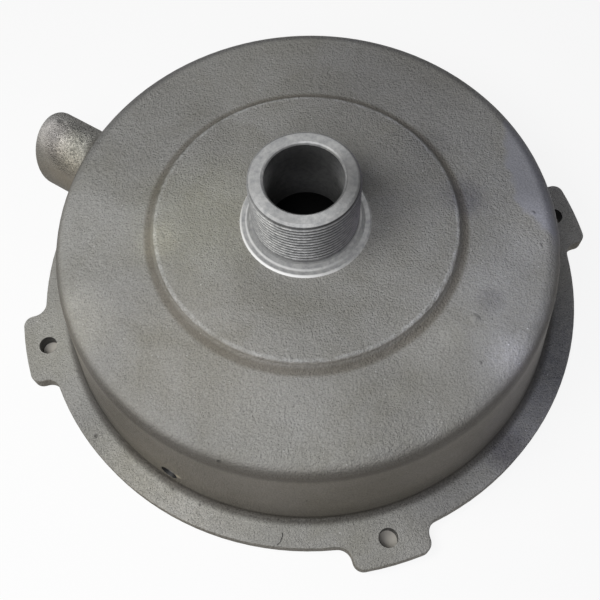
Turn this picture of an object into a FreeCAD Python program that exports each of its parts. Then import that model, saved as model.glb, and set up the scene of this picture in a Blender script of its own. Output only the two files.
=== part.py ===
"""Pump housing: one sand casting, open at the bottom, with a threaded inlet hub on top.

Millimetres. Z runs up the inlet axis and z = 0 is the machined mounting face.
"""
import math
import os

import FreeCAD, Part
from FreeCAD import Vector

# Mounting flange and its four bolt lugs
flange_width = 13.1
flange_thickness = 7.2
flange_edge_round = 1.0
lug_count = 4
lug_first_angle = 12.0
lug_reach = 11.2
lug_half_width = 18.0
lug_corner_round = 5.0
lug_root_round = 6.5
bolt_hole_radius = 4.4

# Drum
drum_base_radius = 120.4
drum_height = 62.5
drum_draft_degrees = 7.1
drum_base_fillet = 3.0
shoulder_round = 8.4
wall_thickness = 6.5

# Raised disc on the drum top
disc_radius = 68.3
disc_rise = 4.0
disc_edge_round = 2.0
disc_base_run = 1.6
disc_base_fillet = 5.0

# Inlet hub, from the spot face up to the ring face
hub_height = 99.7
spot_radius = 29.5
spot_rise = 1.0
spot_chamfer = 0.9
hub_foot_radius = 26.6
hub_cone_radius = 24.9
hub_cone_rise = 2.7
thread_relief_radius = 22.6
thread_relief_width = 1.4
thread_major_radius = 24.0
ring_chamfer = 1.8
bore_radius = 17.0
bore_chamfer = 1.1

# Bowl inside
register_depth = 3.0
register_step = 2.0
bowl_corner_round = 6.0
bowl_step_round = 2.5
bore_mouth_round = 2.0

# Outlet stub: an upright oval, its axis set to one side of the inlet axis
stub_angle = 145.3
stub_offset = 10.8
stub_half_width = 16.4
stub_crown_drop = 7.8
stub_sole_height = 5.3
stub_overhang = 11.4
stub_end_round = 1.2
stub_root_fillet = 4.5
port_radius = 10.5
port_chamfer = 1.0

# Drain hole through the drum wall
drain_angle = -125.0
drain_height = 16.6
drain_radius = 4.2

tan_draft = math.tan(math.radians(drum_draft_degrees))
flange_radius = drum_base_radius + flange_width
drum_rise = drum_height - flange_thickness
drum_top_radius = drum_base_radius - drum_rise * tan_draft
disc_height = drum_height + disc_rise
spot_height = disc_height + spot_rise
cone_top = spot_height + hub_cone_rise
thread_bottom = cone_top + thread_relief_width
thread_top = hub_height - ring_chamfer
ceiling_height = drum_height - wall_thickness
recess_height = disc_height - wall_thickness
bowl_mouth_radius = drum_base_radius - wall_thickness + flange_thickness * tan_draft
register_radius = bowl_mouth_radius + register_step
stub_end_distance = flange_radius + stub_overhang
stub_crown_height = drum_height - stub_crown_drop
stub_height = (stub_crown_height + stub_sole_height) / 2
stub_half_height = (stub_crown_height - stub_sole_height) / 2
clearance = 1.0
skin = 0.02


def profile_face(corners):
    """Closed face in the XZ plane from (radius, height, corner round) triples."""
    count = len(corners)
    starts, ends, arcs = [], [], []
    for i, (r, z, rounding) in enumerate(corners):
        here = Vector(r, 0, z)
        if rounding <= 0:
            starts.append(here)
            ends.append(here)
            arcs.append(None)
            continue
        before = Vector(corners[i - 1][0], 0, corners[i - 1][1])
        after = Vector(corners[(i + 1) % count][0], 0, corners[(i + 1) % count][1])
        to_before = (before - here).normalize()
        to_after = (after - here).normalize()
        half = to_before.getAngle(to_after) / 2
        reach = rounding / math.tan(half)
        centre = here + (to_before + to_after).normalize() * (rounding / math.sin(half))
        first = here + to_before * reach
        last = here + to_after * reach
        middle = centre + (here - centre).normalize() * rounding
        starts.append(first)
        ends.append(last)
        arcs.append(Part.Arc(first, middle, last).toShape())
    edges = []
    for i in range(count):
        if arcs[i] is not None:
            edges.append(arcs[i])
        following = starts[(i + 1) % count]
        if (following - ends[i]).Length > 1e-6:
            edges.append(Part.makeLine(ends[i], following))
    return Part.Face(Part.Wire(edges))


def turned(corners):
    """Solid of revolution about the inlet axis."""
    return profile_face(corners).revolve(Vector(0, 0, 0), Vector(0, 0, 1), 360)


def polar(radius, angle, height=0.0):
    a = math.radians(angle)
    return Vector(radius * math.cos(a), radius * math.sin(a), height)


def wall_radius(height):
    return drum_base_radius - (height - flange_thickness) * tan_draft


def lug_angles():
    return [lug_first_angle + i * 360.0 / lug_count for i in range(lug_count)]


def lug_outline(angle):
    """Edges of one lug, from the rim on its low-angle side to the rim on its high-angle side."""
    lug_radius = flange_radius + lug_reach
    root_y = lug_half_width + lug_root_round
    root_x = math.sqrt((flange_radius + lug_root_round) ** 2 - root_y ** 2)
    corner_y = lug_half_width - lug_corner_round
    corner_x = math.sqrt((lug_radius - lug_corner_round) ** 2 - corner_y ** 2)
    root_centre = Vector(root_x, root_y, 0)
    corner_centre = Vector(corner_x, corner_y, 0)
    on_rim = root_centre * (flange_radius / root_centre.Length)
    root_side = Vector(root_x, lug_half_width, 0)
    root_middle = root_centre + (on_rim + root_side - root_centre * 2).normalize() * lug_root_round
    corner_side = Vector(corner_x, lug_half_width, 0)
    on_outer = corner_centre * (lug_radius / corner_centre.Length)
    corner_middle = corner_centre + (corner_side + on_outer - corner_centre * 2).normalize() * lug_corner_round

    def mirrored(point):
        return Vector(point.x, -point.y, 0)

    edges = [
        Part.Arc(mirrored(on_rim), mirrored(root_middle), mirrored(root_side)).toShape(),
        Part.makeLine(mirrored(root_side), mirrored(corner_side)),
        Part.Arc(mirrored(corner_side), mirrored(corner_middle), mirrored(on_outer)).toShape(),
        Part.Arc(mirrored(on_outer), Vector(lug_radius, 0, 0), on_outer).toShape(),
        Part.Arc(on_outer, corner_middle, corner_side).toShape(),
        Part.makeLine(corner_side, root_side),
        Part.Arc(root_side, root_middle, on_rim).toShape(),
    ]
    for edge in edges:
        edge.rotate(Vector(0, 0, 0), Vector(0, 0, 1), angle)
    return edges, math.degrees(math.atan2(on_rim.y, on_rim.x))


def make_flange():
    """Round flange with its lugs, the upper edge rounded."""
    edges = []
    step = 360.0 / lug_count
    for angle in lug_angles():
        lug, half_span = lug_outline(angle)
        edges += lug
        begin, end = angle + half_span, angle + step - half_span
        edges.append(Part.Arc(polar(flange_radius, begin), polar(flange_radius, (begin + end) / 2),
                              polar(flange_radius, end)).toShape())
    plate = Part.Face(Part.Wire(Part.__sortEdges__(edges))).extrude(Vector(0, 0, flange_thickness))
    top = [e for e in plate.Edges if all(abs(v.Z - flange_thickness) < 1e-6 for v in e.Vertexes)]
    return plate.makeFillet(flange_edge_round, top)


def make_drum_and_hub():
    """Tapered drum, raised disc and threaded hub as one turned solid."""
    return turned([
        (0, 0, 0),
        (drum_base_radius - drum_base_fillet, 0, 0),
        (drum_base_radius - drum_base_fillet, flange_thickness / 2, 0),
        (drum_base_radius + 2 * drum_base_fillet, flange_thickness / 2, 0),
        (drum_base_radius + 2 * drum_base_fillet, flange_thickness, 0),
        (drum_base_radius, flange_thickness, drum_base_fillet),
        (drum_top_radius, drum_height, shoulder_round),
        (disc_radius + disc_base_run, drum_height, disc_base_fillet),
        (disc_radius, disc_height, disc_edge_round),
        (spot_radius, disc_height, 0),
        (spot_radius - spot_chamfer, spot_height, 0),
        (hub_foot_radius, spot_height, 0),
        (hub_cone_radius, cone_top, 0),
        (thread_relief_radius, cone_top, 0),
        (thread_relief_radius, thread_bottom, 0),
        (thread_major_radius, thread_bottom, 0),
        (thread_major_radius, thread_top, 0),
        (thread_major_radius - ring_chamfer, hub_height, 0),
        (0, hub_height, 0),
    ])


def make_bowl():
    """Hollow of the housing: machined register, bowl, step under the raised disc and inlet bore."""
    top_radius = bowl_mouth_radius - (ceiling_height - register_depth) * tan_draft
    return turned([
        (0, -clearance, 0),
        (register_radius, -clearance, 0),
        (register_radius, register_depth, 0),
        (bowl_mouth_radius, register_depth, 0),
        (top_radius, ceiling_height, bowl_corner_round),
        (disc_radius - wall_thickness, ceiling_height, bowl_step_round),
        (disc_radius - wall_thickness, recess_height, bowl_step_round),
        (bore_radius + bore_mouth_round, recess_height, 0),
        (bore_radius, recess_height + bore_mouth_round, 0),
        (bore_radius, hub_height - bore_chamfer, 0),
        (bore_radius + bore_chamfer, hub_height, 0),
        (bore_radius + bore_chamfer, hub_height + clearance, 0),
        (0, hub_height + clearance, 0),
    ])


def stub_point(distance):
    """Point on the stub's axis at a distance along it."""
    side = polar(stub_offset, stub_angle + 90)
    return polar(distance, stub_angle, stub_height) + side


def make_stub():
    """Outlet stub from inside the drum wall out to its end face, the end edge rounded."""
    inner = bowl_mouth_radius - wall_thickness
    axis = polar(1, stub_angle)
    oval = Part.Ellipse(Vector(0, 0, stub_half_height), Vector(0, stub_half_width, 0), Vector(0, 0, 0))
    outline = Part.Wire([oval.toShape()])
    outline.rotate(Vector(0, 0, 0), Vector(0, 0, 1), stub_angle)
    outline.translate(stub_point(inner))
    stub = Part.Face(outline).extrude(axis * (stub_end_distance - inner))
    rim = [e for e in stub.Edges if all(abs(v.Point.dot(axis) - stub_end_distance) < 1e-3 for v in e.Vertexes)]
    return stub.makeFillet(stub_end_round, rim)


def make_port():
    """Through port of the outlet stub with a chamfer at its end."""
    inner = bowl_mouth_radius - 3 * wall_thickness
    axis = polar(1, stub_angle)
    bore = Part.makeCylinder(port_radius, stub_end_distance - inner, stub_point(inner), axis)
    flare = Part.makeCone(port_radius, port_radius + 2 * port_chamfer, 2 * port_chamfer,
                          stub_point(stub_end_distance - port_chamfer), axis)
    return bore.fuse(flare)


def make_drain():
    inner = bowl_mouth_radius - 3 * wall_thickness
    return Part.makeCylinder(drain_radius, drum_base_radius - inner, polar(inner, drain_angle, drain_height),
                             polar(1, drain_angle))


def make_bolt_holes():
    holes = []
    for angle in lug_angles():
        holes.append(Part.makeCylinder(bolt_hole_radius, flange_thickness + 2 * clearance,
                                       polar(flange_radius, angle, -clearance)))
    return holes


def stub_root_edges(shape):
    """Edges where the oval outside of the stub meets the drum."""
    side = polar(1, stub_angle + 90)
    found = []
    for edge in shape.Edges:
        points = edge.discretize(9)
        shares = [((p.dot(side) - stub_offset) / stub_half_width) ** 2
                  + ((p.z - stub_height) / stub_half_height) ** 2 for p in points]
        reach = max(math.hypot(p.x, p.y) for p in points)
        if max(shares) < 1.01 and min(shares) > 0.99 and reach < wall_radius(0):
            found.append(edge)
    return found


def make_stub_root():
    """Plain core just under the drum's skin, carried on below the mounting face, with the stub blended in."""
    depth = stub_half_height
    core = turned([
        (0, -depth, 0),
        (wall_radius(-depth) - skin, -depth, 0),
        (drum_top_radius - skin, drum_height - skin, shoulder_round),
        (0, drum_height - skin, 0),
    ])
    body = core.fuse(make_stub())
    body = body.makeFillet(stub_root_fillet, stub_root_edges(body))
    return body.cut(Part.makeCylinder(2 * flange_radius, 2 * depth, Vector(0, 0, -2 * depth)))


def make_housing():
    body = make_drum_and_hub().fuse(make_stub_root())
    body = body.fuse(make_flange())
    body = body.removeSplitter()
    body = body.cut(make_bowl())
    for tool in [make_port(), make_drain()] + make_bolt_holes():
        body = body.cut(tool)
    return body.Solids[0] if len(body.Solids) == 1 else body


housing = make_housing()
os.makedirs("parts", exist_ok=True)
housing.exportStep("parts/pump_housing.step")
box = housing.BoundBox
print("solids", len(housing.Solids), "valid", housing.isValid(), "volume", round(housing.Volume))
print("box", [round(v, 3) for v in (box.XMin, box.XMax, box.YMin, box.YMax, box.ZMin, box.ZMax)])
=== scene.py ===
import math

import bpy
from mathutils import Matrix, Vector


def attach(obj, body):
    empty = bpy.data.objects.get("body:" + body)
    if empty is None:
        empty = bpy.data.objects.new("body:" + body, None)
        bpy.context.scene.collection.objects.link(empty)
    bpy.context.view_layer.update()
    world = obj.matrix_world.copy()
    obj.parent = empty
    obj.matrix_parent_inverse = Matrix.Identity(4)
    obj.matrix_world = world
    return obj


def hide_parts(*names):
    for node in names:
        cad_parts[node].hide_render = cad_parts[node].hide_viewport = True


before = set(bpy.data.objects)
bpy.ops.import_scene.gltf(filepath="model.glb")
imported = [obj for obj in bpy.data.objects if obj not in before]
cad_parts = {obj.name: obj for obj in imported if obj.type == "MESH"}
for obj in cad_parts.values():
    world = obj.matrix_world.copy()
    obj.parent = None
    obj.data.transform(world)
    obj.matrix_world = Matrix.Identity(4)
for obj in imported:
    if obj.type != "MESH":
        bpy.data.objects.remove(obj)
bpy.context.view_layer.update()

mm = 0.001
tiny = 0.001    # keeps a division off zero
white = (1, 1, 1)

# Sizes of the casting that its machined faces are found by, in millimetres and degrees
castingSizes = {
    "spotRadius": 29.5,
    "discHeight": 66.5,
    "boreMouth": 19.0,
    "bowlMouth": 114.8,
    "registerRadius": 116.8,
    "registerDepth": 3.0,
    "boltCircle": 133.5,
    "boltRadius": 4.4,
    "boltAngles": (12, 102, 192, 282),
    "port": (145.3, 10.8, 30.0, 10.5),    # turn, offset, height, radius
    "drain": (-125.0, 0.0, 16.6, 4.2),
    "stubEnd": 144.9,
    "slack": 0.08,
    "smoothAngle": 32,
}


def deselectAll():
    if bpy.context.object and bpy.context.object.mode != "OBJECT":
        bpy.ops.object.mode_set(mode="OBJECT")
    bpy.ops.object.select_all(action="DESELECT")


def makeActive(piece):
    deselectAll()
    piece.select_set(True)
    bpy.context.view_layer.objects.active = piece


def selectFaces(piece, wanted):
    # leaves the piece in edit mode with only the wanted faces selected
    makeActive(piece)
    bpy.ops.object.mode_set(mode="EDIT")
    bpy.ops.mesh.select_mode(type="FACE")
    bpy.ops.mesh.select_all(action="DESELECT")
    bpy.ops.object.mode_set(mode="OBJECT")
    for face in piece.data.polygons:
        face.select = wanted(face.center / mm, face.normal)
    bpy.ops.object.mode_set(mode="EDIT")


def copyCasting(node):
    # the CAD mesh is left alone: a copy of it is merged, cut and dressed
    casting = bpy.data.objects.new("pumpHousingCasting", node.data.copy())
    bpy.context.scene.collection.objects.link(casting)
    casting.data.materials.clear()
    makeActive(casting)
    bpy.ops.mesh.customdata_custom_splitnormals_clear()
    bpy.ops.object.mode_set(mode="EDIT")
    bpy.ops.mesh.select_all(action="SELECT")
    bpy.ops.mesh.remove_doubles(threshold=1e-6)
    bpy.ops.object.mode_set(mode="OBJECT")
    print("casting copied:", len(casting.data.polygons), "faces")
    return casting


# Pipe thread on the hub, in millimetres
threadValues = {
    "pitch": 25.4 / 11.5,
    "crestRadius": 24.0,
    "depth": 1.6,
    "overhang": 0.2,      # how far the cutter stands out of the crest
    "firstGroove": 72.4,
    "turns": 13,
    "stepsPerTurn": 96,
    "fadeTurns": 0.5,     # the groove comes in over this part of its first turn
}


def makeThreadCutter(values):
    # an equilateral triangle is a 60 degree vee, wound up the hub from its far side; it is one and a
    # half times as high as its middle is far from a corner
    corner = (values["depth"] + values["overhang"]) / 1.5
    middle = values["crestRadius"] - values["depth"] + corner
    deselectAll()
    bpy.ops.mesh.primitive_circle_add(
        vertices=3, radius=corner * mm, fill_type="NOTHING",
        location=(0, middle * mm, values["firstGroove"] * mm),
        rotation=(0, math.radians(90), math.radians(180)))
    cutter = bpy.context.object
    cutter.name = "threadCutter"
    bpy.ops.object.transform_apply(location=True, rotation=True, scale=True)
    bpy.ops.object.modifier_add(type="SCREW")
    screw = cutter.modifiers[-1]
    screw.axis = "Z"
    screw.angle = 2 * math.pi
    screw.screw_offset = values["pitch"] * mm
    screw.iterations = values["turns"]
    screw.steps = values["stepsPerTurn"]
    screw.render_steps = values["stepsPerTurn"]
    bpy.ops.object.modifier_apply(modifier=screw.name)
    fadeIn(cutter, values)

    # the two open ends are closed, and the faces turned outwards
    bpy.ops.object.mode_set(mode="EDIT")
    bpy.ops.mesh.select_mode(type="EDGE")
    bpy.ops.mesh.select_all(action="DESELECT")
    bpy.ops.mesh.select_non_manifold()
    bpy.ops.mesh.fill_holes(sides=3)
    bpy.ops.mesh.select_all(action="SELECT")
    bpy.ops.mesh.normals_make_consistent(inside=False)
    bpy.ops.object.mode_set(mode="OBJECT")
    return cutter


def fadeIn(cutter, values):
    # the start of the winding stands out of the hub, and comes in as it goes round
    for vertex in cutter.data.vertices:
        x, y, z = vertex.co / mm
        part = ((math.degrees(math.atan2(y, x)) - 90) % 360) / 360
        rise = (z - values["firstGroove"]) / values["pitch"]
        turn = round(rise - part) + part
        shift = values["depth"] * max(0, 1 - turn / values["fadeTurns"])
        away = 1 + shift / math.hypot(x, y)
        vertex.co = Vector((x * away, y * away, z)) * mm


def cutThread(casting, cutter):
    makeActive(casting)
    bpy.ops.object.modifier_add(type="BOOLEAN")
    cut = casting.modifiers[-1]
    cut.operation = "DIFFERENCE"
    cut.solver = "EXACT"
    cut.object = cutter
    bpy.ops.object.modifier_apply(modifier=cut.name)
    bpy.data.objects.remove(cutter)
    print("thread cut:", len(casting.data.polygons), "faces")


def alongAndAside(place, angle):
    # how far out a point lies in one direction round the axis, and how far to the left of it
    turn = math.radians(angle)
    along = place.x * math.cos(turn) + place.y * math.sin(turn)
    aside = place.y * math.cos(turn) - place.x * math.sin(turn)
    return along, aside


def isOnHub(place, sizes):
    # the spot face and all that stands on it, and the bore
    slack = sizes["slack"]
    radius = math.hypot(place.x, place.y)
    aboveDisc = place.z > sizes["discHeight"] + slack
    return radius < sizes["boreMouth"] + slack or aboveDisc and radius < sizes["spotRadius"] + slack


def isOnMountingFace(place, normal, sizes):
    # the face that the flange stands on, and the register inside it
    slack = sizes["slack"]
    radius = math.hypot(place.x, place.y)
    facesDown = normal.z < -0.9
    inReach = sizes["bowlMouth"] - slack < radius < sizes["registerRadius"] + slack
    onStep = facesDown and place.z < sizes["registerDepth"] + slack
    onSide = place.z < sizes["registerDepth"] - slack
    return facesDown and place.z < slack or inReach and (onStep or onSide)


def isInHole(place, normal, sizes):
    # the bolt holes, the port with the stub's end face, and the drain
    slack = sizes["slack"]
    facesAside = abs(normal.z) < 0.5
    for angle in sizes["boltAngles"]:
        along, aside = alongAndAside(place, angle)
        if facesAside and math.hypot(along - sizes["boltCircle"], aside) < sizes["boltRadius"] + slack:
            return True
    for angle, offset, height, bore in (sizes["port"], sizes["drain"]):
        along, aside = alongAndAside(place, angle)
        if along > 0 and math.hypot(aside - offset, place.z - height) < bore + slack:
            return True
    along, aside = alongAndAside(place, sizes["port"][0])
    return along > sizes["stubEnd"] - slack


def isMachined(place, normal):
    sizes = castingSizes
    onFace = isOnHub(place, sizes) or isOnMountingFace(place, normal, sizes)
    return onFace or isInHole(place, normal, sizes)


def dressCasting(casting, castSurface, turnedSurface):
    casting.data.materials.append(castSurface)
    casting.data.materials.append(turnedSurface)
    selectFaces(casting, isMachined)
    bpy.context.object.active_material_index = 1
    bpy.ops.object.material_slot_assign()
    bpy.ops.object.mode_set(mode="OBJECT")
    bpy.ops.object.shade_smooth_by_angle(angle=math.radians(castingSizes["smoothAngle"]))
    machined = sum(face.material_index == 1 for face in casting.data.polygons)
    print("casting dressed:", machined, "machined faces")


def newMaterial(name):
    material = bpy.data.materials.new(name)
    material.use_nodes = True
    return material, material.node_tree, material.node_tree.nodes["Principled BSDF"]


def addNode(tree, kind, inputs=None, **settings):
    node = tree.nodes.new(kind)
    for name, value in settings.items():
        setattr(node, name, value)
    for key, value in (inputs or {}).items():
        if isinstance(value, bpy.types.NodeSocket):
            tree.links.new(value, node.inputs[key])
        else:
            node.inputs[key].default_value = value
    return node


def addMath(tree, operation, first, second=0.0, clamp=False):
    node = addNode(tree, "ShaderNodeMath", {0: first, 1: second}, operation=operation, use_clamp=clamp)
    return node.outputs[0]


def plusShare(tree, value, other, share):
    # the value plus a share of the other
    return addMath(tree, "ADD", value, addMath(tree, "MULTIPLY", other, share))


def addVectorMath(tree, operation, inputs, output="Vector"):
    return addNode(tree, "ShaderNodeVectorMath", inputs, operation=operation).outputs[output]


def addNoise(tree, place, size, detail, roughness=0.5, distortion=0.0):
    # size is the width of one lump in millimetres; the result runs from about -1 to 1
    noise = addNode(tree, "ShaderNodeTexNoise", {
        "Vector": place, "Scale": 1 / size, "Detail": detail,
        "Roughness": roughness, "Distortion": distortion})
    return addNode(tree, "ShaderNodeMapRange", {
        "Value": noise.outputs["Fac"], "From Min": 0.25, "From Max": 0.75, "To Min": -1.0, "To Max": 1.0},
        clamp=False).outputs[0]


def addRamp(tree, value, start, end, low=0.0, high=1.0):
    return addNode(tree, "ShaderNodeMapRange", {
        "Value": value, "From Min": start, "From Max": end, "To Min": low, "To Max": high}).outputs[0]


def addFade(tree, value, start, end):
    # 1 at start, 0 at end
    return addNode(tree, "ShaderNodeMapRange", {
        "Value": value, "From Min": start, "From Max": end, "To Min": 1.0, "To Max": 0.0},
        interpolation_type="SMOOTHSTEP").outputs[0]


def addBetween(tree, value, ends, edge):
    # 1 between two ends and 0 past them; the edge lies outside them at the top and inside at the bottom
    lowest, highest = ends
    return addMath(tree, "MULTIPLY", addRamp(tree, value, lowest, lowest + edge),
                   addRamp(tree, value, highest + edge, highest))


def addPlace(tree):
    # Object coordinates in millimetres
    coordinates = addNode(tree, "ShaderNodeTexCoord").outputs["Object"]
    return addVectorMath(tree, "SCALE", {0: coordinates, "Scale": 1 / mm})


def addRadius(tree, place):
    flat = addVectorMath(tree, "MULTIPLY", {0: place, 1: (1, 1, 0)})
    return addVectorMath(tree, "LENGTH", {0: flat}, "Value")


def addUpPart(tree, vector):
    return addNode(tree, "ShaderNodeSeparateXYZ", {0: vector}).outputs["Z"]


def addDistance(tree, place, spot):
    return addVectorMath(tree, "DISTANCE", {0: place, 1: spot}, "Value")


def addSpotFade(tree, place, spot, reach, core=0.2):
    # 1 near a spot, as far as the core share of its reach, and 0 a reach away
    return addFade(tree, addDistance(tree, place, spot), reach * core, reach)


def addRingFade(tree, radius, height, ring, core=0.3):
    # the same round a circle about the axis
    ringRadius, ringHeight, reach = ring
    outward = addMath(tree, "SUBTRACT", radius, ringRadius)
    upward = addMath(tree, "SUBTRACT", height, ringHeight)
    squares = addMath(tree, "ADD", addMath(tree, "MULTIPLY", outward, outward),
                      addMath(tree, "MULTIPLY", upward, upward))
    return addFade(tree, addMath(tree, "SQRT", squares), reach * core, reach)


def addSide(tree, place, radius, side):
    # 1 on the side that faces one way round the axis; start and end run from -1, its far side, to 1
    way, start, end = side
    along = addVectorMath(tree, "DOT_PRODUCT", {0: place, 1: way}, "Value")
    facing = addMath(tree, "DIVIDE", along, addMath(tree, "MAXIMUM", radius, tiny))
    return addRamp(tree, facing, start, end)


def mixColour(tree, factor, first, second):
    # first where the factor is 0, second where it is 1; either may be a plain colour
    sides = [side if isinstance(side, bpy.types.NodeSocket) else (*side, 1) for side in (first, second)]
    return addNode(tree, "ShaderNodeMix", {"Factor": factor, 6: sides[0], 7: sides[1]},
                   data_type="RGBA").outputs[2]


def tint(tree, colour, kept):
    return addVectorMath(tree, "MULTIPLY", {0: colour, 1: kept})


def tintWhere(tree, colour, factor, share):
    # the colour is left as it is where the factor is 0, and keeps this share where it is 1
    return tint(tree, colour, mixColour(tree, factor, white, share))


def scaleWhere(tree, value, factor, share):
    # the same for a plain value
    return addMath(tree, "MULTIPLY", value, addRamp(tree, factor, 0.0, 1.0, 1.0, share))


# Sand-cast skin: colours as written, every length and height in millimetres. A noise has the width
# of one lump, its detail, and where they matter its roughness and distortion.
castValues = {
    "colour": (0.300, 0.297, 0.283),
    "stainColour": (0.245, 0.240, 0.215),
    "stains": (34.0, 3, 0.6, 0.4),
    "stainRange": (-0.5, 0.9),
    "paleColour": (0.420, 0.420, 0.415),
    "speckColour": (0.560, 0.560, 0.550),
    "steepColourAndShade": (0.62, 0.58, 0.52),   # what a steep face keeps of the colour: a browner skin and painted shade
    "levelRange": (0.20, 0.92),          # how far a steep face and a level one look up
    "roughRange": (0.56, 0.68),
    "specular": 0.3,
    "grain": (0.90, 2, 0.55),
    "grainHeight": 0.24,
    "fineGrain": (0.48, 1),
    "fineHeight": 0.12,
    "lumps": (2.0, 2),
    "lumpHeight": 0.20,
    "waves": (22.0, 2),
    "waveHeight": 0.35,
    "pits": (7.0, 0.09, 0.30),           # spacing, size and the share of the places that have one
    "pitDepth": 0.35,
    "specks": (3.0, 0.15, 0.35),
    "speckHeight": 0.28,
    "smoothShare": 0.32,   # share of the grain left on steep faces
    "flangeShare": 1.2,    # how much coarser the flange is
    "flangePaintedLight": 1.36,    # painted light: what the level face of the flange gains in tone
    "flangeStart": (119.0, 122.0),
    "flangeTop": (8.0, 10.0),
    "roughSpots": {        # place, reach and coarseness of the roughest stretches
        "stub": ((-112.0, 57.0, 54.0), 20.0, 4.0),
        "flangeLeft": ((-84.0, -98.0, 7.2), 74.0, 1.9),
        "topLeft": ((-70.0, 50.0, 62.5), 62.0, 1.35),
    },
    "calmSpot": ((86.0, -66.0, 60.0), 66.0, 0.55),
    "stubFlecks": ((-112.0, 57.0, 54.0), 17.0, (0.70, 1.40)),
    "flecks": (1.2, 2, 0.6),
    "speckle": (0.80, 2, 0.6),
    "speckleRange": (0.80, 1.20),
    "markShade": 0.45,     # what the bottom of a pit keeps
    "edgeRing": (67.6, 66.1, 1.5),        # radius, height and reach of the rubbed edge of the disc
    "rubbing": (4.0, 3, 0.65),
    "rubGloss": 0.12,                     # what the rubbed edge loses in roughness
    "shadeRings": (        # painted shade: radius, height, reach and what is kept of the colour
        ((71.0, 62.6, 3.1), (0.60, 0.57, 0.53)),
        ((113.9, 56.4, 6.0), (0.50, 0.49, 0.48)),
        ((120.5, 7.8, 4.2), (0.32, 0.31, 0.30)),
    ),
    "wallFootShade": ((120.0, 9.0, 16.0), 0.78),   # and painted shade on the wall alone
    "backRimShade": ((110.8, 60.8, 4.8), (0.50, 0.50, 0.52)),   # and painted shade at the back alone, where the shoulder turns away
    "backSide": ((0.35, 0.94, 0), -0.2, 0.5),   # which way it faces, where it starts and is full
    "brokenRange": (0.6, 1.0),   # the patches below break up between these with the lumps
}

# Marks of this one casting: place, reach and height, with pits below zero
castMarks = {
    "discSpeck": ((16.9, 51.4, 66.5), 0.9, 0.5),
    "topSpeck": ((11.3, 74.7, 62.5), 1.6, 0.5),
    "shoulderSpeckBack": ((86.6, 55.0, 62.5), 1.0, 0.5),
    "shoulderSpeckRight": ((102.0, -1.8, 62.5), 1.4, 0.6),
    "shoulderSpeckLow": ((102.3, -18.3, 62.5), 1.1, 0.6),
    "lumpRight": ((68.8, -51.3, 62.5), 2.6, 0.9),
    "speckFrontRight": ((67.9, -71.6, 62.5), 1.2, 0.5),
    "stubPitOuter": ((-118.0, 62.0, 53.3), 0.8, -1.2),
    "stubPitInner": ((-106.0, 59.0, 54.6), 0.9, -0.9),
    "stubDent": ((-117.7, 72.2, 54.2), 2.4, -0.9),
    "shoulderNick": ((-41.2, -105.3, 58.7), 1.2, -0.6),
    "wallPitFront": ((-7.1, -117.2, 31.1), 0.7, -0.6),
    "flangeNickFront": ((-55.7, -111.0, 7.2), 1.0, -0.7),
    "flangeNickLeft": ((-68.1, -103.0, 7.2), 0.9, -0.6),
    "flangeScratch": ((-104.6, -75.7, 7.2), 1.5, -0.5),
    "discLumpLeft": ((-64.1, -5.1, 66.5), 1.5, 0.5),
}
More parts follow.
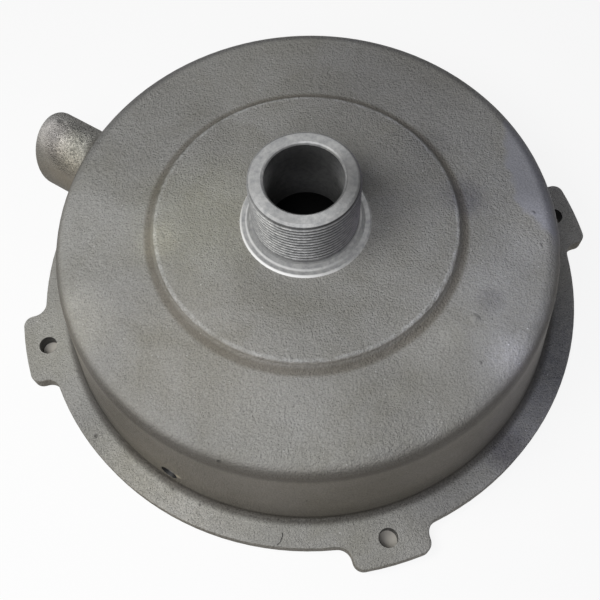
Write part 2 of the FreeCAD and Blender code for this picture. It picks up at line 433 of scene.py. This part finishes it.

# Colour patches, most of them painted light and shade, the rest wear and tint: place, reach and what they
# keep of each colour
castPatches = {
    "smudgeRight": ((76.4, -43.3, 62.5), 9.0, (0.72, 0.72, 0.74)),
    "rubbedFront": ((31.5, -83.2, 62.5), 7.0, (1.15, 1.15, 1.15)),
    "rubbedFrontRight": ((57.2, -58.3, 62.5), 8.0, (1.15, 1.15, 1.15)),
    # painted highlights on the stub's crown and end, and painted light on its side
    "stubHighlight": ((-110.0, 54.0, 53.0), 15.0, (2.90, 2.90, 2.74)),
    "stubHighlightEnd": ((-121.0, 64.0, 53.6), 13.0, (2.70, 2.62, 2.68)),
    "stubSideLight": ((-114.0, 50.0, 38.0), 24.0, (1.46, 1.41, 1.36)),
    # the shoulder's left edge is worn, and also painted lighter where the light falls on it
    "shoulderLeftWearAndLight": ((-104.0, -42.0, 61.0), 26.0, (1.45, 1.43, 1.38)),
    "rubbedEdgeLeft": ((-67.0, -6.0, 66.0), 14.0, (1.30, 1.29, 1.24)),
    # an olive tint on the disc's left, also painted lighter there
    "oliveTintAndLightDisc": ((-46.0, 4.0, 66.5), 44.0, (1.16, 1.16, 1.06)),
    # painted light and shade: lighter towards the lamps at the left and front, darker to the right and
    # back
    "shadedWallLeft": ((-88.0, -80.0, 36.0), 30.0, (0.78, 0.77, 0.75)),
    "shadedFlangeLow": ((54.0, -120.0, 7.2), 24.0, (0.80, 0.80, 0.82)),
    "litLeft": ((-98.0, 4.0, 62.5), 50.0, (1.20, 1.20, 1.20)),
    "shadedRight": ((48.0, 72.0, 64.0), 70.0, (0.73, 0.73, 0.75)),
    "coolTop": ((88.0, 0.0, 62.5), 70.0, (0.96, 0.97, 1.02)),
    # more painted light and shade on the shoulder, annulus, flange and steps
    "litShoulderRight": ((101.0, -10.0, 61.0), 22.0, (1.42, 1.42, 1.45)),
    "litLowRight": ((78.0, -50.0, 62.5), 46.0, (1.22, 1.23, 1.28)),
    "litFrontLeft": ((-52.0, -60.0, 63.0), 52.0, (1.24, 1.22, 1.18)),
    "litFront": ((-10.0, -98.0, 62.5), 46.0, (1.24, 1.24, 1.24)),
    "litFlange": ((-74.0, -104.0, 7.2), 58.0, (1.62, 1.60, 1.56)),
    "litLugLeft": ((-128.0, -26.0, 7.2), 30.0, (1.16, 1.16, 1.14)),
    "shadedFlangeRight": ((118.0, -44.0, 7.2), 52.0, (0.44, 0.45, 0.49)),
    "litStepFront": ((46.0, -62.0, 63.0), 20.0, (1.16, 1.16, 1.17)),
    "shadedStepRight": ((71.5, 8.0, 62.5), 15.0, (0.50, 0.50, 0.56)),
    "shadedDiscRight": ((52.0, 14.0, 66.5), 26.0, (0.80, 0.80, 0.80)),
    "shadedStepBack": ((60.0, 38.0, 64.0), 14.0, (0.76, 0.76, 0.78)),
    "coolRight": ((98.0, -78.0, 24.0), 64.0, (0.90, 0.92, 1.06)),
    # painted light and painted shade on the shoulder and flange at the front right
    "litShoulderFront": ((85.0, -73.0, 60.0), 18.0, (1.50, 1.50, 1.58)),
    "shadedFlangeFront": ((86.0, -94.0, 7.2), 15.0, (0.52, 0.51, 0.54)),
    # painted highlight beside the drain
    "highlightBesideDrain": ((-64.2, -100.2, 18.6), 2.6, (2.9, 2.8, 2.6)),
}

# Cleaner, cooler patch on the right shoulder: middle, half lengths and colour
smoothPatch = {
    "middle": (114.0, 26.0, 60.0),
    "halves": (21.0, 48.0, 26.0),
    "colour": (0.250, 0.252, 0.268),
    "edge": 0.85,          # it fades from here out to its half lengths
    "wander": (9.0, 2),
    "wanderShare": 0.10,
    "grainLost": 0.75,
}

# Scratch that curves on the flange: centre, radius, line width, depth and the middle of its stretch
arcScratch = {
    "centre": (-24.5, -126.0, 7.2),
    "radius": 5.6,
    "width": 0.45,
    "depth": 0.5,
    "middle": (-19.6, -128.6, 7.2),
    "reach": 3.6,
}


def addSmoothPatch(tree, place, patch):
    # 1 inside the patch, with a wandering edge
    fromMiddle = addVectorMath(tree, "SUBTRACT", {0: place, 1: patch["middle"]})
    scaled = addVectorMath(tree, "DIVIDE", {0: fromMiddle, 1: patch["halves"]})
    away = addVectorMath(tree, "LENGTH", {0: scaled}, "Value")
    away = plusShare(tree, away, addNoise(tree, place, *patch["wander"]), patch["wanderShare"])
    return addFade(tree, away, patch["edge"], 1.0)


def addSpecks(tree, place, specks):
    # 1 in the middle of a few cells of a grid, which hold a pit or a standing grain
    spacing, size, share = specks
    cells = addNode(tree, "ShaderNodeTexVoronoi", {"Vector": place, "Scale": 1 / spacing}, feature="F1")
    near = addFade(tree, cells.outputs["Distance"], 0.02, size)
    chosen = addNode(tree, "ShaderNodeSeparateColor", {0: cells.outputs["Color"]}).outputs[0]
    return addMath(tree, "MULTIPLY", near, addMath(tree, "LESS_THAN", chosen, share))


def readSkin(tree, values, patch):
    # what the grain, the colour and the gloss of the skin depend on
    place = addPlace(tree)
    radius = addRadius(tree, place)
    height = addUpPart(tree, place)
    upward = addUpPart(tree, addNode(tree, "ShaderNodeNewGeometry").outputs["True Normal"])
    wear = addRamp(tree, addNoise(tree, place, *values["rubbing"]), -0.6, 0.6)
    return {
        "place": place,
        "radius": radius,
        "height": height,
        "level": addRamp(tree, upward, *values["levelRange"]),
        "smooth": addSmoothPatch(tree, place, patch),
        "lumps": addNoise(tree, place, *values["lumps"]),
        "specks": addSpecks(tree, place, values["specks"]),
        "rubbed": addMath(tree, "MULTIPLY", addRingFade(tree, radius, height, values["edgeRing"]), wear),
    }


def addCoarseness(tree, skin, values, patch):
    # steep faces drew cleaner from the sand than the level ones
    coarse = addRamp(tree, skin["level"], 0.0, 1.0, values["smoothShare"], 1.0)
    onFlange = addRamp(tree, skin["radius"], *values["flangeStart"])
    coarse = scaleWhere(tree, coarse, onFlange, values["flangeShare"])
    coarse = scaleWhere(tree, coarse, skin["smooth"], 1 - patch["grainLost"])
    for spot, reach, share in values["roughSpots"].values():
        near = addSpotFade(tree, skin["place"], spot, reach, core=0.5)
        coarse = addMath(tree, "MAXIMUM", coarse, addMath(tree, "MULTIPLY", near, share))
    spot, reach, share = values["calmSpot"]
    return scaleWhere(tree, coarse, addSpotFade(tree, skin["place"], spot, reach, core=0.3), share)


def addGrain(tree, skin, values, patch):
    # heights of the sand's print, in millimetres
    place = skin["place"]
    bumps = addMath(tree, "MULTIPLY", skin["lumps"], values["lumpHeight"])
    for heights, rise in ((addNoise(tree, place, *values["grain"]), values["grainHeight"]),
                          (addNoise(tree, place, *values["fineGrain"]), values["fineHeight"]),
                          (addSpecks(tree, place, values["pits"]), -values["pitDepth"]),
                          (skin["specks"], values["speckHeight"])):
        bumps = plusShare(tree, bumps, heights, rise)
    bumps = addMath(tree, "MULTIPLY", bumps, addCoarseness(tree, skin, values, patch))
    return plusShare(tree, bumps, addNoise(tree, place, *values["waves"]), values["waveHeight"])


def addMarks(tree, place, bumps, marks, scratch):
    # adds the marks to the heights; the second result is 1 at the bottom of a pit or the scratch
    dark = 0.0
    for spot, reach, rise in marks.values():
        near = addSpotFade(tree, place, spot, reach)
        bumps = plusShare(tree, bumps, near, rise)
        if rise < 0:
            dark = addMath(tree, "ADD", dark, near, clamp=True)
    ring = addMath(tree, "SUBTRACT", addDistance(tree, place, scratch["centre"]), scratch["radius"])
    line = addFade(tree, addMath(tree, "ABSOLUTE", ring), 0.0, scratch["width"])
    stretch = addSpotFade(tree, place, scratch["middle"], scratch["reach"], core=0.7)
    line = addMath(tree, "MULTIPLY", line, stretch)
    bumps = plusShare(tree, bumps, line, -scratch["depth"])
    return bumps, addMath(tree, "ADD", dark, line, clamp=True)


def addSkinColour(tree, skin, values, patches, patch):
    # slow drifts between the plain and stained greys, paler where an edge is rubbed
    place, radius, height, level = skin["place"], skin["radius"], skin["height"], skin["level"]
    drift = addRamp(tree, addNoise(tree, place, *values["stains"]), *values["stainRange"])
    colour = mixColour(tree, drift, values["colour"], values["stainColour"])
    colour = mixColour(tree, skin["smooth"], colour, patch["colour"])
    for field, paler in (("rubbed", values["paleColour"]), ("specks", values["speckColour"])):
        colour = mixColour(tree, addMath(tree, "MULTIPLY", skin[field], level), colour, paler)

    # painted shade: darker on steep faces, which are also browner, in the hollows and along the edges
    # that turn away
    colour = tint(tree, colour, mixColour(tree, level, values["steepColourAndShade"], white))
    for ring, share in values["shadeRings"]:
        colour = tintWhere(tree, colour, addRingFade(tree, radius, height, ring), share)
    # painted shade on the shoulder's rim at the back
    ring, share = values["backRimShade"]
    atBack = addSide(tree, place, radius, values["backSide"])
    rim = addMath(tree, "MULTIPLY", addRingFade(tree, radius, height, ring), atBack)
    colour = tintWhere(tree, colour, rim, share)

    # the patches of painted light and shade, wear and tint, broken up by the lumps
    broken = addRamp(tree, skin["lumps"], -1.0, 1.0, *values["brokenRange"])
    for spot, reach, share in patches.values():
        near = addMath(tree, "MULTIPLY", addSpotFade(tree, place, spot, reach), broken)
        colour = tintWhere(tree, colour, near, share)
    return colour


def addSkinTone(tree, skin, values, dark):
    # fine speckle, dark pits, flecks on the stub, painted shade at the foot of the wall and painted light
    # on the flange
    place = skin["place"]
    tone = addRamp(tree, addNoise(tree, place, *values["speckle"]), -1.0, 1.0, *values["speckleRange"])
    tone = scaleWhere(tree, tone, dark, values["markShade"])
    spot, reach, share = values["stubFlecks"]
    flecks = addRamp(tree, addNoise(tree, place, *values["flecks"]), -0.7, 0.7, *share)
    tone = scaleWhere(tree, tone, addSpotFade(tree, place, spot, reach, core=0.3), flecks)
    # painted shade at the foot of the wall
    ring, share = values["wallFootShade"]
    steep = addMath(tree, "SUBTRACT", 1.0, skin["level"])
    foot = addMath(tree, "MULTIPLY", addRingFade(tree, skin["radius"], skin["height"], ring), steep)
    tone = scaleWhere(tree, tone, foot, share)
    # painted light on the level face of the flange
    low = addMath(tree, "MULTIPLY", addFade(tree, skin["height"], *values["flangeTop"]), skin["level"])
    return scaleWhere(tree, tone, low, values["flangePaintedLight"])


def makeCastSurface(values, marks, patches, patch, scratch):
    material, tree, shader = newMaterial("sandCastAluminium")
    skin = readSkin(tree, values, patch)
    bumps = addGrain(tree, skin, values, patch)
    bumps, dark = addMarks(tree, skin["place"], bumps, marks, scratch)
    colour = addSkinColour(tree, skin, values, patches, patch)
    tone = addSkinTone(tree, skin, values, dark)
    toned = addVectorMath(tree, "SCALE", {0: colour, "Scale": tone})
    tree.links.new(toned, shader.inputs["Base Color"])

    rough = addRamp(tree, skin["lumps"], -1.0, 1.0, *values["roughRange"])
    rough = plusShare(tree, rough, skin["rubbed"], -values["rubGloss"])
    tree.links.new(rough, shader.inputs["Roughness"])
    shader.inputs["Specular IOR Level"].default_value = values["specular"]
    bump = addNode(tree, "ShaderNodeBump", {"Strength": 1.0, "Distance": mm, "Height": bumps})
    tree.links.new(bump.outputs[0], shader.inputs["Normal"])
    print("sand-cast surface made:", len(tree.nodes), "nodes")
    return material


# Turned metal of the hub, bore and faces, every length in millimetres
turnedValues = {
    "colour": (0.40, 0.40, 0.395),
    "dullColour": (0.23, 0.235, 0.24),
    "metallic": 0.45,
    "roughRange": (0.35, 0.52),
    "smears": (2.4, 3, 0.6),
    "smearRange": (-0.6, 1.0),
    "lineSize": 0.44,
    "lineHeight": 0.024,
    "bandSize": 2.2,
    "bandHeight": 0.06,
    "streak": 3.0,          # how often the lines change on their way round
    "grooveRoot": 22.8,     # the thread is dark at this radius, with grime and painted shade in its grooves
    "grooveTop": 23.6,      # and plain at this one
    "threadInside": (21.0, 21.5),
    "threadSpan": (71.3, 98.5),
    "threadEdge": 0.3,      # how softly the thread's shade ends
    "grooveShade": 0.03,
    "flankShade": 0.72,
    "frontShift": 0.50,     # painted shade: turned to the front both lie this much farther out
    "frontSide": ((0, -1, 0), -0.1, 0.95),    # which way it faces, where it starts and is full
    # painted shade on the thread's right side
    "rightSide": ((1, 0, 0), 0.2, 0.9),
    "rightShade": (0.46, 0.44, 0.50),
    "boreRadius": 17.3,
    "boreEdge": 0.4,
    "boreShade": 0.30,
    "holeRing": (118.0, 139.0),   # the bolt holes and the drain lie between these radii
    "holeEdge": 0.1,
    "holeStart": (0.05, 0.10),    # their shade sets in between these heights
    "holeShade": 0.16,
    "outerLightAndShade": {         # painted shade and light on the ring, painted shade in the drain: place, reach and what is kept
        "dark": ((21.0, -2.0, 99.7), 21.0, 0.44),
        "bright": ((-22.0, -14.0, 97.0), 12.0, 1.22),
        "front": ((2.0, -21.0, 99.7), 11.0, 1.18),
        "drain": ((-67.5, -96.4, 16.6), 9.0, 0.30),
    },
    # painted light and reflections on the bore's sides, painted shade at its back
    "boreLightAndShade": {
        "right": ((17.0, -2.0, 90.0), 17.0, 3.2),
        "left": ((-17.0, 0.0, 90.0), 14.0, 4.5),
        "back": ((0.0, 17.0, 88.0), 15.0, 0.60),
    },
    "darkRing": (23.5, 99.0, 1.4),    # radius, height and reach of the painted shade on the edge at the back right
    "darkRingShade": 0.35,
    "darkSide": ((0.60, 0.80, 0), -0.3, 0.7),
    # painted highlights on the hub's edges
    "highlightColour": (0.90, 0.90, 0.89),
    "highlightSide": ((-0.80, -0.60, 0), -0.1, 0.95),
    "highlightRings": (                  # and of the painted highlights on the edges at the front left, and how bright
        ((29.2, 67.0, 1.1), 1.0),
        ((26.4, 67.8, 0.9), 0.55),
    ),
}


def addTurningLines(tree, place, radius, height, values):
    # lines run round the axis: the pattern is quick along radius and height, slow round the turn
    parts = addNode(tree, "ShaderNodeSeparateXYZ", {0: place})
    safe = addMath(tree, "MAXIMUM", radius, tiny)
    across = addMath(tree, "ADD", radius, height)
    turned = {"Z": addMath(tree, "DIVIDE", across, values["lineSize"])}
    for axis in ("X", "Y"):
        turn = addMath(tree, "DIVIDE", parts.outputs[axis], safe)
        turned[axis] = addMath(tree, "MULTIPLY", turn, values["streak"])
    pattern = addNode(tree, "ShaderNodeCombineXYZ", turned).outputs[0]
    lines = addNode(tree, "ShaderNodeTexNoise", {"Vector": pattern, "Scale": 1.0, "Detail": 2.0})
    bands = addNode(tree, "ShaderNodeTexNoise", {
        "Vector": pattern, "Scale": values["lineSize"] / values["bandSize"], "Detail": 1.0})
    bumps = addMath(tree, "MULTIPLY", lines.outputs["Fac"], values["lineHeight"])
    return plusShare(tree, bumps, bands.outputs["Fac"], values["bandHeight"])


def addPaintedHighlights(tree, place, radius, height, values):
    # painted highlight: 1 on the rings that catch the light, on their front left side
    bright = 0.0
    for ring, share in values["highlightRings"]:
        near = addMath(tree, "MULTIPLY", addRingFade(tree, radius, height, ring), share)
        bright = addMath(tree, "MAXIMUM", bright, near)
    return addMath(tree, "MULTIPLY", bright, addSide(tree, place, radius, values["highlightSide"]))


def addThreadSpan(tree, radius, height, values):
    # 1 on the thread and 0 off it
    inSpan = addBetween(tree, height, values["threadSpan"], values["threadEdge"])
    return addMath(tree, "MULTIPLY", inSpan, addRamp(tree, radius, *values["threadInside"]))


def addGrimeAndShade(tree, place, radius, height, values, onThread):
    # grime and painted shade in the thread's grooves and the holes, painted shade in the bore, and
    # painted light and shade spots on the ring and in the bore
    front = addSide(tree, place, radius, values["frontSide"])
    deep = plusShare(tree, radius, front, -values["frontShift"])
    groove = addRamp(tree, deep, values["grooveRoot"], values["grooveTop"],
                     values["grooveShade"], values["flankShade"])
    shade = addNode(tree, "ShaderNodeMix", {"Factor": onThread, 2: 1.0, 3: groove}).outputs[0]
    inBore = addFade(tree, radius, values["boreRadius"], values["boreRadius"] + values["boreEdge"])
    shade = scaleWhere(tree, shade, inBore, values["boreShade"])
    holes = addBetween(tree, radius, values["holeRing"], values["holeEdge"])
    holes = addMath(tree, "MULTIPLY", holes, addRamp(tree, height, *values["holeStart"]))
    shade = scaleWhere(tree, shade, holes, values["holeShade"])

    outside = addMath(tree, "SUBTRACT", 1.0, inBore)
    for spots, where in ((values["outerLightAndShade"], outside), (values["boreLightAndShade"], inBore)):
        for spot, reach, share in spots.values():
            near = addMath(tree, "MULTIPLY", addSpotFade(tree, place, spot, reach), where)
            shade = scaleWhere(tree, shade, near, share)
    edge = addRingFade(tree, radius, height, values["darkRing"])
    edge = addMath(tree, "MULTIPLY", edge, addSide(tree, place, radius, values["darkSide"]))
    return scaleWhere(tree, shade, edge, values["darkRingShade"])


def makeTurnedSurface(values):
    material, tree, shader = newMaterial("turnedAluminium")
    place = addPlace(tree)
    radius = addRadius(tree, place)
    height = addUpPart(tree, place)
    smear = addNoise(tree, place, *values["smears"])
    onThread = addThreadSpan(tree, radius, height, values)

    dull = addRamp(tree, smear, *values["smearRange"])
    colour = mixColour(tree, dull, values["colour"], values["dullColour"])
    # painted highlights on the edges at the front left
    bright = addPaintedHighlights(tree, place, radius, height, values)
    colour = mixColour(tree, bright, colour, values["highlightColour"])
    # painted shade on the right side of the thread
    right = addMath(tree, "MULTIPLY", addSide(tree, place, radius, values["rightSide"]), onThread)
    colour = tintWhere(tree, colour, right, values["rightShade"])
    shade = addGrimeAndShade(tree, place, radius, height, values, onThread)
    toned = addVectorMath(tree, "SCALE", {0: colour, "Scale": shade})
    tree.links.new(toned, shader.inputs["Base Color"])

    rough = addRamp(tree, smear, -1.0, 1.0, *values["roughRange"])
    tree.links.new(rough, shader.inputs["Roughness"])
    shader.inputs["Metallic"].default_value = values["metallic"]
    bumps = addTurningLines(tree, place, radius, height, values)
    bump = addNode(tree, "ShaderNodeBump", {"Strength": 1.0, "Distance": mm, "Height": bumps})
    tree.links.new(bump.outputs[0], shader.inputs["Normal"])
    print("turned surface made:", len(tree.nodes), "nodes")
    return material


# Floor, lamps and room: lamp places and sizes in metres, powers in watts, the rest in millimetres
stageValues = {
    "floorSize": 6000.0,
    "bounceShade": (0.44, 0.42, 0.38),
    "seenShade": (0.92, 0.92, 0.92),
    "shadowShare": 0.12,
    "boreFloorShade": (0.05, 0.05, 0.05),
    "boreFloorRadius": 60.0,    # painted shade: the floor that shows down the bore is painted dark
    "footprint": 118.0,       # under the casting the floor is only as bright as what reaches it
    "holeReach": 6.0,         # and so it is under the bolt holes
    "lamps": {                # place, size, power and colour
        "keyLamp": ((-0.30, -0.08, 0.50), 0.28, 1.50, (1.0, 0.995, 0.955)),
        "fillLamp": ((-0.10, -0.28, 0.50), 0.28, 1.14, (0.97, 0.97, 1.0)),
    },
    "lampTarget": (0, 0, 0.04),
    "worldShade": (0.090, 0.090, 0.105),
}


def addSeenDirectly(tree):
    # 1 for what the camera, a reflection or a see-through ray looks at
    path = addNode(tree, "ShaderNodeLightPath")
    seen = addMath(tree, "MAXIMUM", path.outputs["Is Camera Ray"], path.outputs["Is Glossy Ray"])
    return addMath(tree, "MAXIMUM", seen, path.outputs["Is Transmission Ray"])


def addOpenFloor(tree, place, values):
    # 1 where the floor is seen directly and lies clear of the casting and its holes
    clear = addMath(tree, "GREATER_THAN", addRadius(tree, place), values["footprint"])
    seen = addMath(tree, "MULTIPLY", addSeenDirectly(tree), clear)
    circle = castingSizes["boltCircle"]
    for angle in castingSizes["boltAngles"]:
        turn = math.radians(angle)
        hole = circle * math.cos(turn), circle * math.sin(turn), 0
        clear = addMath(tree, "GREATER_THAN", addDistance(tree, place, hole), values["holeReach"])
        seen = addMath(tree, "MULTIPLY", seen, clear)
    return seen


def addFloor(values):
    deselectAll()
    bpy.ops.mesh.primitive_plane_add(size=values["floorSize"] * mm)
    floor = bpy.context.object
    floor.name = "paleFloor"
    paper, tree, shader = newMaterial("palePaper")
    place = addPlace(tree)
    seen = addOpenFloor(tree, place, values)
    colour = mixColour(tree, seen, values["bounceShade"], values["seenShade"])
    # painted shade on the floor under the bore
    covered = addMath(tree, "LESS_THAN", addRadius(tree, place), values["boreFloorRadius"])
    colour = mixColour(tree, covered, colour, values["boreFloorShade"])
    tree.links.new(colour, shader.inputs["Base Color"])
    shader.inputs["Roughness"].default_value = 1.0
    shader.inputs["Specular IOR Level"].default_value = 0.0

    # what is seen of it is white, less its share of the shadow
    glow = addNode(tree, "ShaderNodeEmission", {"Color": (*white, 1), "Strength": 1.0})
    amount = addMath(tree, "MULTIPLY", seen, 1 - values["shadowShare"])
    mixed = addNode(tree, "ShaderNodeMixShader", {0: amount, 1: shader.outputs[0], 2: glow.outputs[0]})
    tree.links.new(mixed.outputs[0], tree.nodes["Material Output"].inputs["Surface"])
    floor.data.materials.append(paper)


def addRoom(values):
    world = bpy.data.worlds.new("plainRoom")
    bpy.context.scene.world = world
    world.use_nodes = True
    tree = world.node_tree
    colour = mixColour(tree, addSeenDirectly(tree), values["worldShade"], white)
    tree.links.new(colour, tree.nodes["Background"].inputs["Color"])


def addLamp(name, place, size, power, colour, target):
    data = bpy.data.lights.new(name, "AREA")
    data.shape = "DISK"
    data.size = size
    data.energy = power
    data.color = colour
    lamp = bpy.data.objects.new(name, data)
    bpy.context.scene.collection.objects.link(lamp)
    lamp.location = place
    lamp.visible_camera = False
    lamp.rotation_euler = (Vector(target) - Vector(place)).to_track_quat("-Z", "Y").to_euler()


def addStage(values):
    addFloor(values)
    addRoom(values)
    for name, lamp in values["lamps"].items():
        addLamp(name, *lamp, values["lampTarget"])
    print("stage set")


# Camera of the photograph: tilt and roll in degrees, place in millimetres, focal length in pixels
cameraValues = {
    "elevation": 64.70,
    "roll": -3.56,
    "place": (-4.776, -192.378, 389.584),
    "focal": 840.1,
    "imageSize": 600,
    "sensor": 36.0,
}


def addCamera(values):
    data = bpy.data.cameras.new("photoCamera")
    camera = bpy.data.objects.new("photoCamera", data)
    bpy.context.scene.collection.objects.link(camera)
    data.sensor_width = values["sensor"]
    data.lens = values["focal"] / values["imageSize"] * values["sensor"]
    tilt = Matrix.Rotation(math.radians(90 - values["elevation"]), 4, "X")
    roll = Matrix.Rotation(math.radians(values["roll"]), 4, "Z")
    camera.matrix_world = Matrix.Translation(Vector(values["place"]) * mm) @ tilt @ roll
    bpy.context.scene.camera = camera
    print("camera placed")


casting = copyCasting(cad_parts["pump_housing"])
cutThread(casting, makeThreadCutter(threadValues))
castSurface = makeCastSurface(castValues, castMarks, castPatches, smoothPatch, arcScratch)
dressCasting(casting, castSurface, makeTurnedSurface(turnedValues))
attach(casting, "root")
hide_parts("pump_housing")
addStage(stageValues)
addCamera(cameraValues)
bpy.context.scene.view_settings.view_transform = "Standard"
